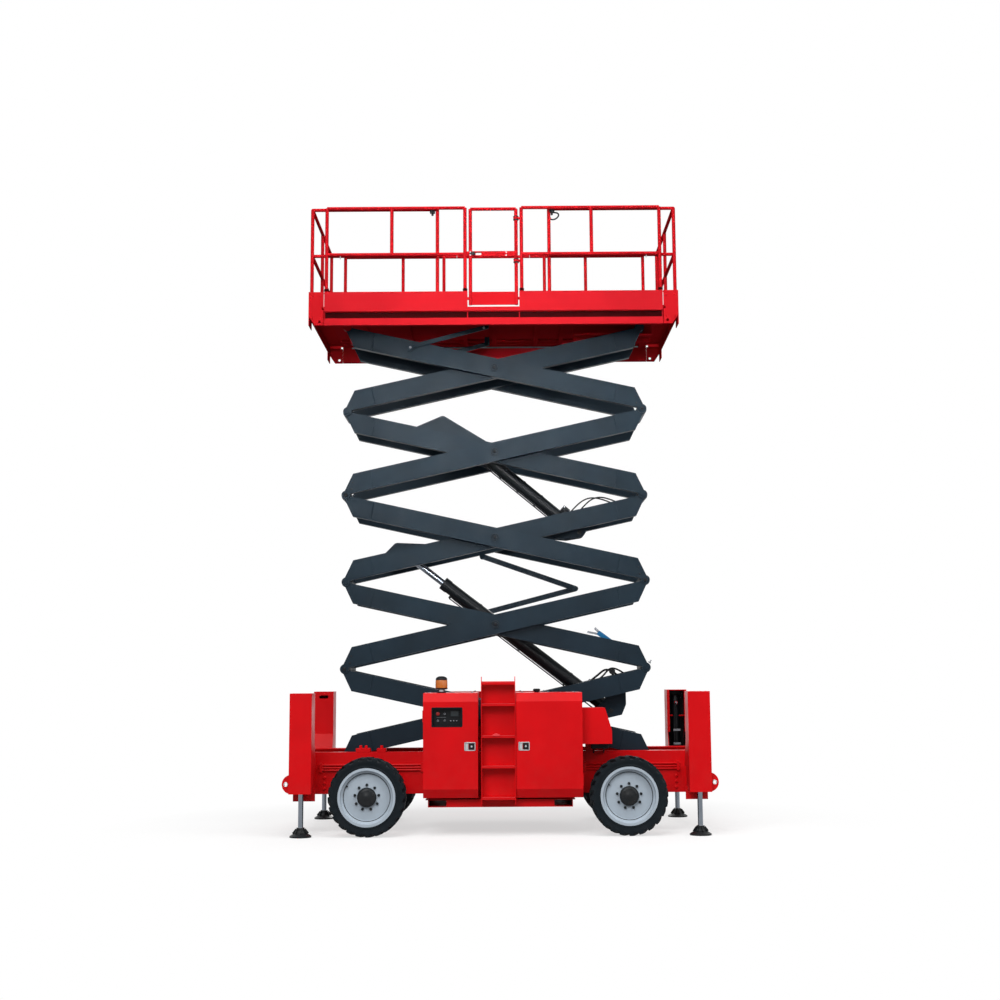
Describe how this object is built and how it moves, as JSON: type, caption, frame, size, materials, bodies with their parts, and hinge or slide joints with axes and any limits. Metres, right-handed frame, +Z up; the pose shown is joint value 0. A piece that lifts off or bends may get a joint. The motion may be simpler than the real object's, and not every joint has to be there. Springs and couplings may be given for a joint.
{
  "type": "scissor lift",
  "caption": "Wheeled scissor lift with stacked crossing arms, a railed platform with slide-out decks, lift cylinders, outriggers and side cabinets.",
  "frame": {"origin": "on the ground, under the middle of the machine", "axes": "+X forward, towards the steered wheels; +Z up; the ladder is on the -Y side"},
  "size_m": [4.5998, 2.44, 6.8738],
  "materials": {
    "amber": "amber lens",
    "arm_paint": "satin dark blue grey paint",
    "black": "satin black paint",
    "cast": "dark cast iron",
    "chrome": "hard chrome rod",
    "paint": "glossy red paint",
    "panel": "black plastic panel",
    "rim": "light grey paint",
    "tyre": "black tyre rubber"
  },
  "bodies": {
    "chassis": {"chassis_frame": "paint", "fork_frame": "paint", "rear_axle": "cast", "front_axle": "cast", "cabinet_rear_near": "paint", "cabinet_front_near": "paint", "cabinet_rear_far": "paint", "cabinet_front_far": "paint", "control_panel": "panel", "engine_block": "cast", "ladder": "paint", "beacon": "amber", "side_cover": "paint", "outrigger_rear_near": "paint", "outrigger_rear_far": "paint", "outrigger_front_near": "paint", "outrigger_front_far": "paint"},
    "arm_1_inner": {"arm_1_inner": "arm_paint"},
    "arm_1_outer": {"arm_1_outer": "arm_paint"},
    "arm_2_outer": {"arm_2_outer": "arm_paint"},
    "arm_2_inner": {"arm_2_inner": "arm_paint"},
    "arm_3_inner": {"arm_3_inner": "arm_paint"},
    "arm_3_outer": {"arm_3_outer": "arm_paint"},
    "arm_4_outer": {"arm_4_outer": "arm_paint"},
    "arm_4_inner": {"arm_4_inner": "arm_paint"},
    "arm_5_inner": {"arm_5_inner": "arm_paint"},
    "arm_5_outer": {"arm_5_outer": "arm_paint"},
    "lower_barrel": {"lower_cylinder_barrel": "black"},
    "lower_rod": {"lower_cylinder_rod": "chrome"},
    "upper_barrel": {"upper_cylinder_barrel": "black"},
    "upper_rod": {"upper_cylinder_rod": "chrome"},
    "guide_upper": {"guide_upper": "arm_paint"},
    "guide_lower": {"guide_lower": "arm_paint"},
    "platform": {"platform_deck": "paint", "platform_rails": "paint"},
    "gate": {"gate": "paint"},
    "extension_rear": {"extension_deck_rear": "paint"},
    "extension_front": {"extension_deck_front": "paint"},
    "wheel_rear_near": {"tyre_rear_near": "tyre", "rim_rear_near": "rim"},
    "wheel_rear_far": {"tyre_rear_far": "tyre", "rim_rear_far": "rim"},
    "wheel_front_near": {"tyre_front_near": "tyre", "rim_front_near": "rim"},
    "knuckle_near": {"front_knuckle_near": "cast"},
    "wheel_front_far": {"tyre_front_far": "tyre", "rim_front_far": "rim"},
    "knuckle_far": {"front_knuckle_far": "cast"},
    "leg_rear_near": {"leg_rod_rear_near": "chrome", "leg_pad_rear_near": "black"},
    "leg_rear_far": {"leg_rod_rear_far": "chrome", "leg_pad_rear_far": "black"},
    "leg_front_near": {"leg_rod_front_near": "chrome", "leg_pad_front_near": "black"},
    "leg_front_far": {"leg_rod_front_far": "chrome", "leg_pad_front_far": "black"},
    "door_rear_near": {"door_rear_near": "paint"},
    "door_front_near": {"door_front_near": "paint"},
    "door_rear_far": {"door_rear_far": "paint"},
    "door_front_far": {"door_front_far": "paint"}
  },
  "joints": [
    {"name": "lift", "type": "hinge", "parent": "chassis", "child": "arm_1_inner", "pos_m": [-1.72611, 0, 0.78], "axis": [0, -1, 0], "range_deg": [-12.13, 23.25]},
    {"name": "arm_1_centre", "type": "hinge", "parent": "arm_1_inner", "child": "arm_1_outer", "pos_m": [-0.045, 0, 1.26618], "axis": [0, -1, 0], "range_deg": [-46.51, 24.28]},
    {"name": "arm_2_end", "type": "hinge", "parent": "arm_1_outer", "child": "arm_2_outer", "pos_m": [-1.72611, 0, 1.75236], "axis": [0, -1, 0], "range_deg": [-24.28, 46.51]},
    {"name": "arm_2_centre", "type": "hinge", "parent": "arm_2_outer", "child": "arm_2_inner", "pos_m": [-0.045, 0, 2.23854], "axis": [0, -1, 0], "range_deg": [-46.51, 24.28]},
    {"name": "arm_3_end", "type": "hinge", "parent": "arm_2_inner", "child": "arm_3_inner", "pos_m": [-1.72611, 0, 2.72472], "axis": [0, -1, 0], "range_deg": [-24.28, 46.51]},
    {"name": "arm_3_centre", "type": "hinge", "parent": "arm_3_inner", "child": "arm_3_outer", "pos_m": [-0.045, 0, 3.2109], "axis": [0, -1, 0], "range_deg": [-46.51, 24.28]},
    {"name": "arm_4_end", "type": "hinge", "parent": "arm_3_outer", "child": "arm_4_outer", "pos_m": [-1.72611, 0, 3.69709], "axis": [0, -1, 0], "range_deg": [-24.28, 46.51]},
    {"name": "arm_4_centre", "type": "hinge", "parent": "arm_4_outer", "child": "arm_4_inner", "pos_m": [-0.045, 0, 4.18327], "axis": [0, -1, 0], "range_deg": [-46.51, 24.28]},
    {"name": "arm_5_end", "type": "hinge", "parent": "arm_4_inner", "child": "arm_5_inner", "pos_m": [-1.72611, 0, 4.66945], "axis": [0, -1, 0], "range_deg": [-24.28, 46.51]},
    {"name": "arm_5_centre", "type": "hinge", "parent": "arm_5_inner", "child": "arm_5_outer", "pos_m": [-0.045, 0, 5.15563], "axis": [0, -1, 0], "range_deg": [-46.51, 24.28]},
    {"name": "platform_pin", "type": "hinge", "parent": "arm_5_outer", "child": "platform", "pos_m": [-1.72611, 0, 5.64181], "axis": [0, -1, 0], "range_deg": [-12.15, 23.27]},
    {"name": "lower_barrel_pin", "type": "hinge", "parent": "arm_1_inner", "child": "lower_barrel", "pos_m": [1.25247, 0, 1.27088], "axis": [0, -1, 0], "range_deg": [-45.81, 23.92]},
    {"name": "lower_rod_slide", "type": "slide", "parent": "lower_barrel", "child": "lower_rod", "axis": [-0.7935, 0, 0.6086], "range_m": [-0.5128, 0.9823]},
    {"name": "upper_barrel_pin", "type": "hinge", "parent": "arm_3_inner", "child": "upper_barrel", "pos_m": [0.92241, 0, 3.29126], "axis": [0, -1, 0], "range_deg": [-51.62, 26.95]},
    {"name": "upper_rod_slide", "type": "slide", "parent": "upper_barrel", "child": "upper_rod", "axis": [-0.7696, 0, 0.6385], "range_m": [-0.3096, 0.5928]},
    {"name": "guide_upper_pin", "type": "hinge", "parent": "arm_3_inner", "child": "guide_upper", "pos_m": [-0.19754, 0, 3.039], "axis": [0, -1, 0], "range_deg": [-55.87, 29.16]},
    {"name": "guide_knee", "type": "hinge", "parent": "guide_upper", "child": "guide_lower", "pos_m": [0.88, 0, 2.66], "axis": [0, -1, 0], "range_deg": [-38.74, 74.22]},
    {"name": "spin_rear_near", "type": "hinge", "parent": "chassis", "child": "wheel_rear_near", "pos_m": [-1.407, -1.05, 0.41], "axis": [0, 1, 0], "continuous": true},
    {"name": "spin_rear_far", "type": "hinge", "parent": "chassis", "child": "wheel_rear_far", "pos_m": [-1.407, 1.05, 0.41], "axis": [0, 1, 0], "continuous": true},
    {"name": "steer_near", "type": "hinge", "parent": "chassis", "child": "knuckle_near", "pos_m": [1.357, -0.95, 0.41], "axis": [0, 0, 1], "range_deg": [-35.02, 35.02]},
    {"name": "spin_front_near", "type": "hinge", "parent": "knuckle_near", "child": "wheel_front_near", "pos_m": [1.357, -1.05, 0.41], "axis": [0, 1, 0], "continuous": true},
    {"name": "steer_far", "type": "hinge", "parent": "chassis", "child": "knuckle_far", "pos_m": [1.357, 0.95, 0.41], "axis": [0, 0, 1], "range_deg": [-35, 35]},
    {"name": "spin_front_far", "type": "hinge", "parent": "knuckle_far", "child": "wheel_front_far", "pos_m": [1.357, 1.05, 0.41], "axis": [0, 1, 0], "continuous": true},
    {"name": "leg_rear_near_slide", "type": "slide", "parent": "chassis", "child": "leg_rear_near", "axis": [0, 0, -1], "range_m": [-0.33, 0.25]},
    {"name": "leg_rear_far_slide", "type": "slide", "parent": "chassis", "child": "leg_rear_far", "axis": [0, 0, -1], "range_m": [-0.33, 0.25]},
    {"name": "leg_front_near_slide", "type": "slide", "parent": "chassis", "child": "leg_front_near", "axis": [0, 0, -1], "range_m": [-0.33, 0.25]},
    {"name": "leg_front_far_slide", "type": "slide", "parent": "chassis", "child": "leg_front_far", "axis": [0, 0, -1], "range_m": [-0.33, 0.25]},
    {"name": "door_rear_near_hinge", "type": "hinge", "parent": "chassis", "child": "door_rear_near", "pos_m": [-0.815, -1.108, 0.94], "axis": [0, 0, -1], "range_deg": [0, 95]},
    {"name": "door_front_near_hinge", "type": "hinge", "parent": "chassis", "child": "door_front_near", "pos_m": [0.875, -1.108, 0.94], "axis": [0, 0, 1], "range_deg": [0, 95]},
    {"name": "door_rear_far_hinge", "type": "hinge", "parent": "chassis", "child": "door_rear_far", "pos_m": [-0.815, 1.108, 0.94], "axis": [0, 0, 1], "range_deg": [0, 95]},
    {"name": "door_front_far_hinge", "type": "hinge", "parent": "chassis", "child": "door_front_far", "pos_m": [0.875, 1.108, 0.94], "axis": [0, 0, -1], "range_deg": [0, 95]},
    {"name": "gate_hinge", "type": "hinge", "parent": "platform", "child": "gate", "pos_m": [0.21, -1.036, 6.2], "axis": [0, 0, 1], "range_deg": [-90, 0]},
    {"name": "extension_rear_slide", "type": "slide", "parent": "platform", "child": "extension_rear", "axis": [-1, 0, 0], "range_m": [0, 0.95]},
    {"name": "extension_front_slide", "type": "slide", "parent": "platform", "child": "extension_front", "axis": [1, 0, 0], "range_m": [0, 0.95]}
  ],
  "couplings": [
    {"joint": "arm_1_centre", "follows": "lift", "ratio": -2},
    {"joint": "arm_2_end", "follows": "lift", "ratio": 2},
    {"joint": "arm_2_centre", "follows": "lift", "ratio": -2},
    {"joint": "arm_3_end", "follows": "lift", "ratio": 2},
    {"joint": "arm_3_centre", "follows": "lift", "ratio": -2},
    {"joint": "arm_4_end", "follows": "lift", "ratio": 2},
    {"joint": "arm_4_centre", "follows": "lift", "ratio": -2},
    {"joint": "arm_5_end", "follows": "lift", "ratio": 2},
    {"joint": "arm_5_centre", "follows": "lift", "ratio": -2},
    {"joint": "platform_pin", "follows": "lift", "ratio": 1},
    {"joint": "lower_barrel_pin", "follows": "lift", "ratio": -1.97},
    {"joint": "lower_rod_slide", "follows": "lift", "m_per_rad": 2.42},
    {"joint": "upper_barrel_pin", "follows": "lift", "ratio": -2.22},
    {"joint": "upper_rod_slide", "follows": "lift", "m_per_rad": 1.46},
    {"joint": "guide_upper_pin", "follows": "lift", "ratio": -2.4025},
    {"joint": "guide_knee", "follows": "lift", "ratio": 3.192},
    {"joint": "steer_near", "follows": "steer_far", "ratio": 1}
  ]
}
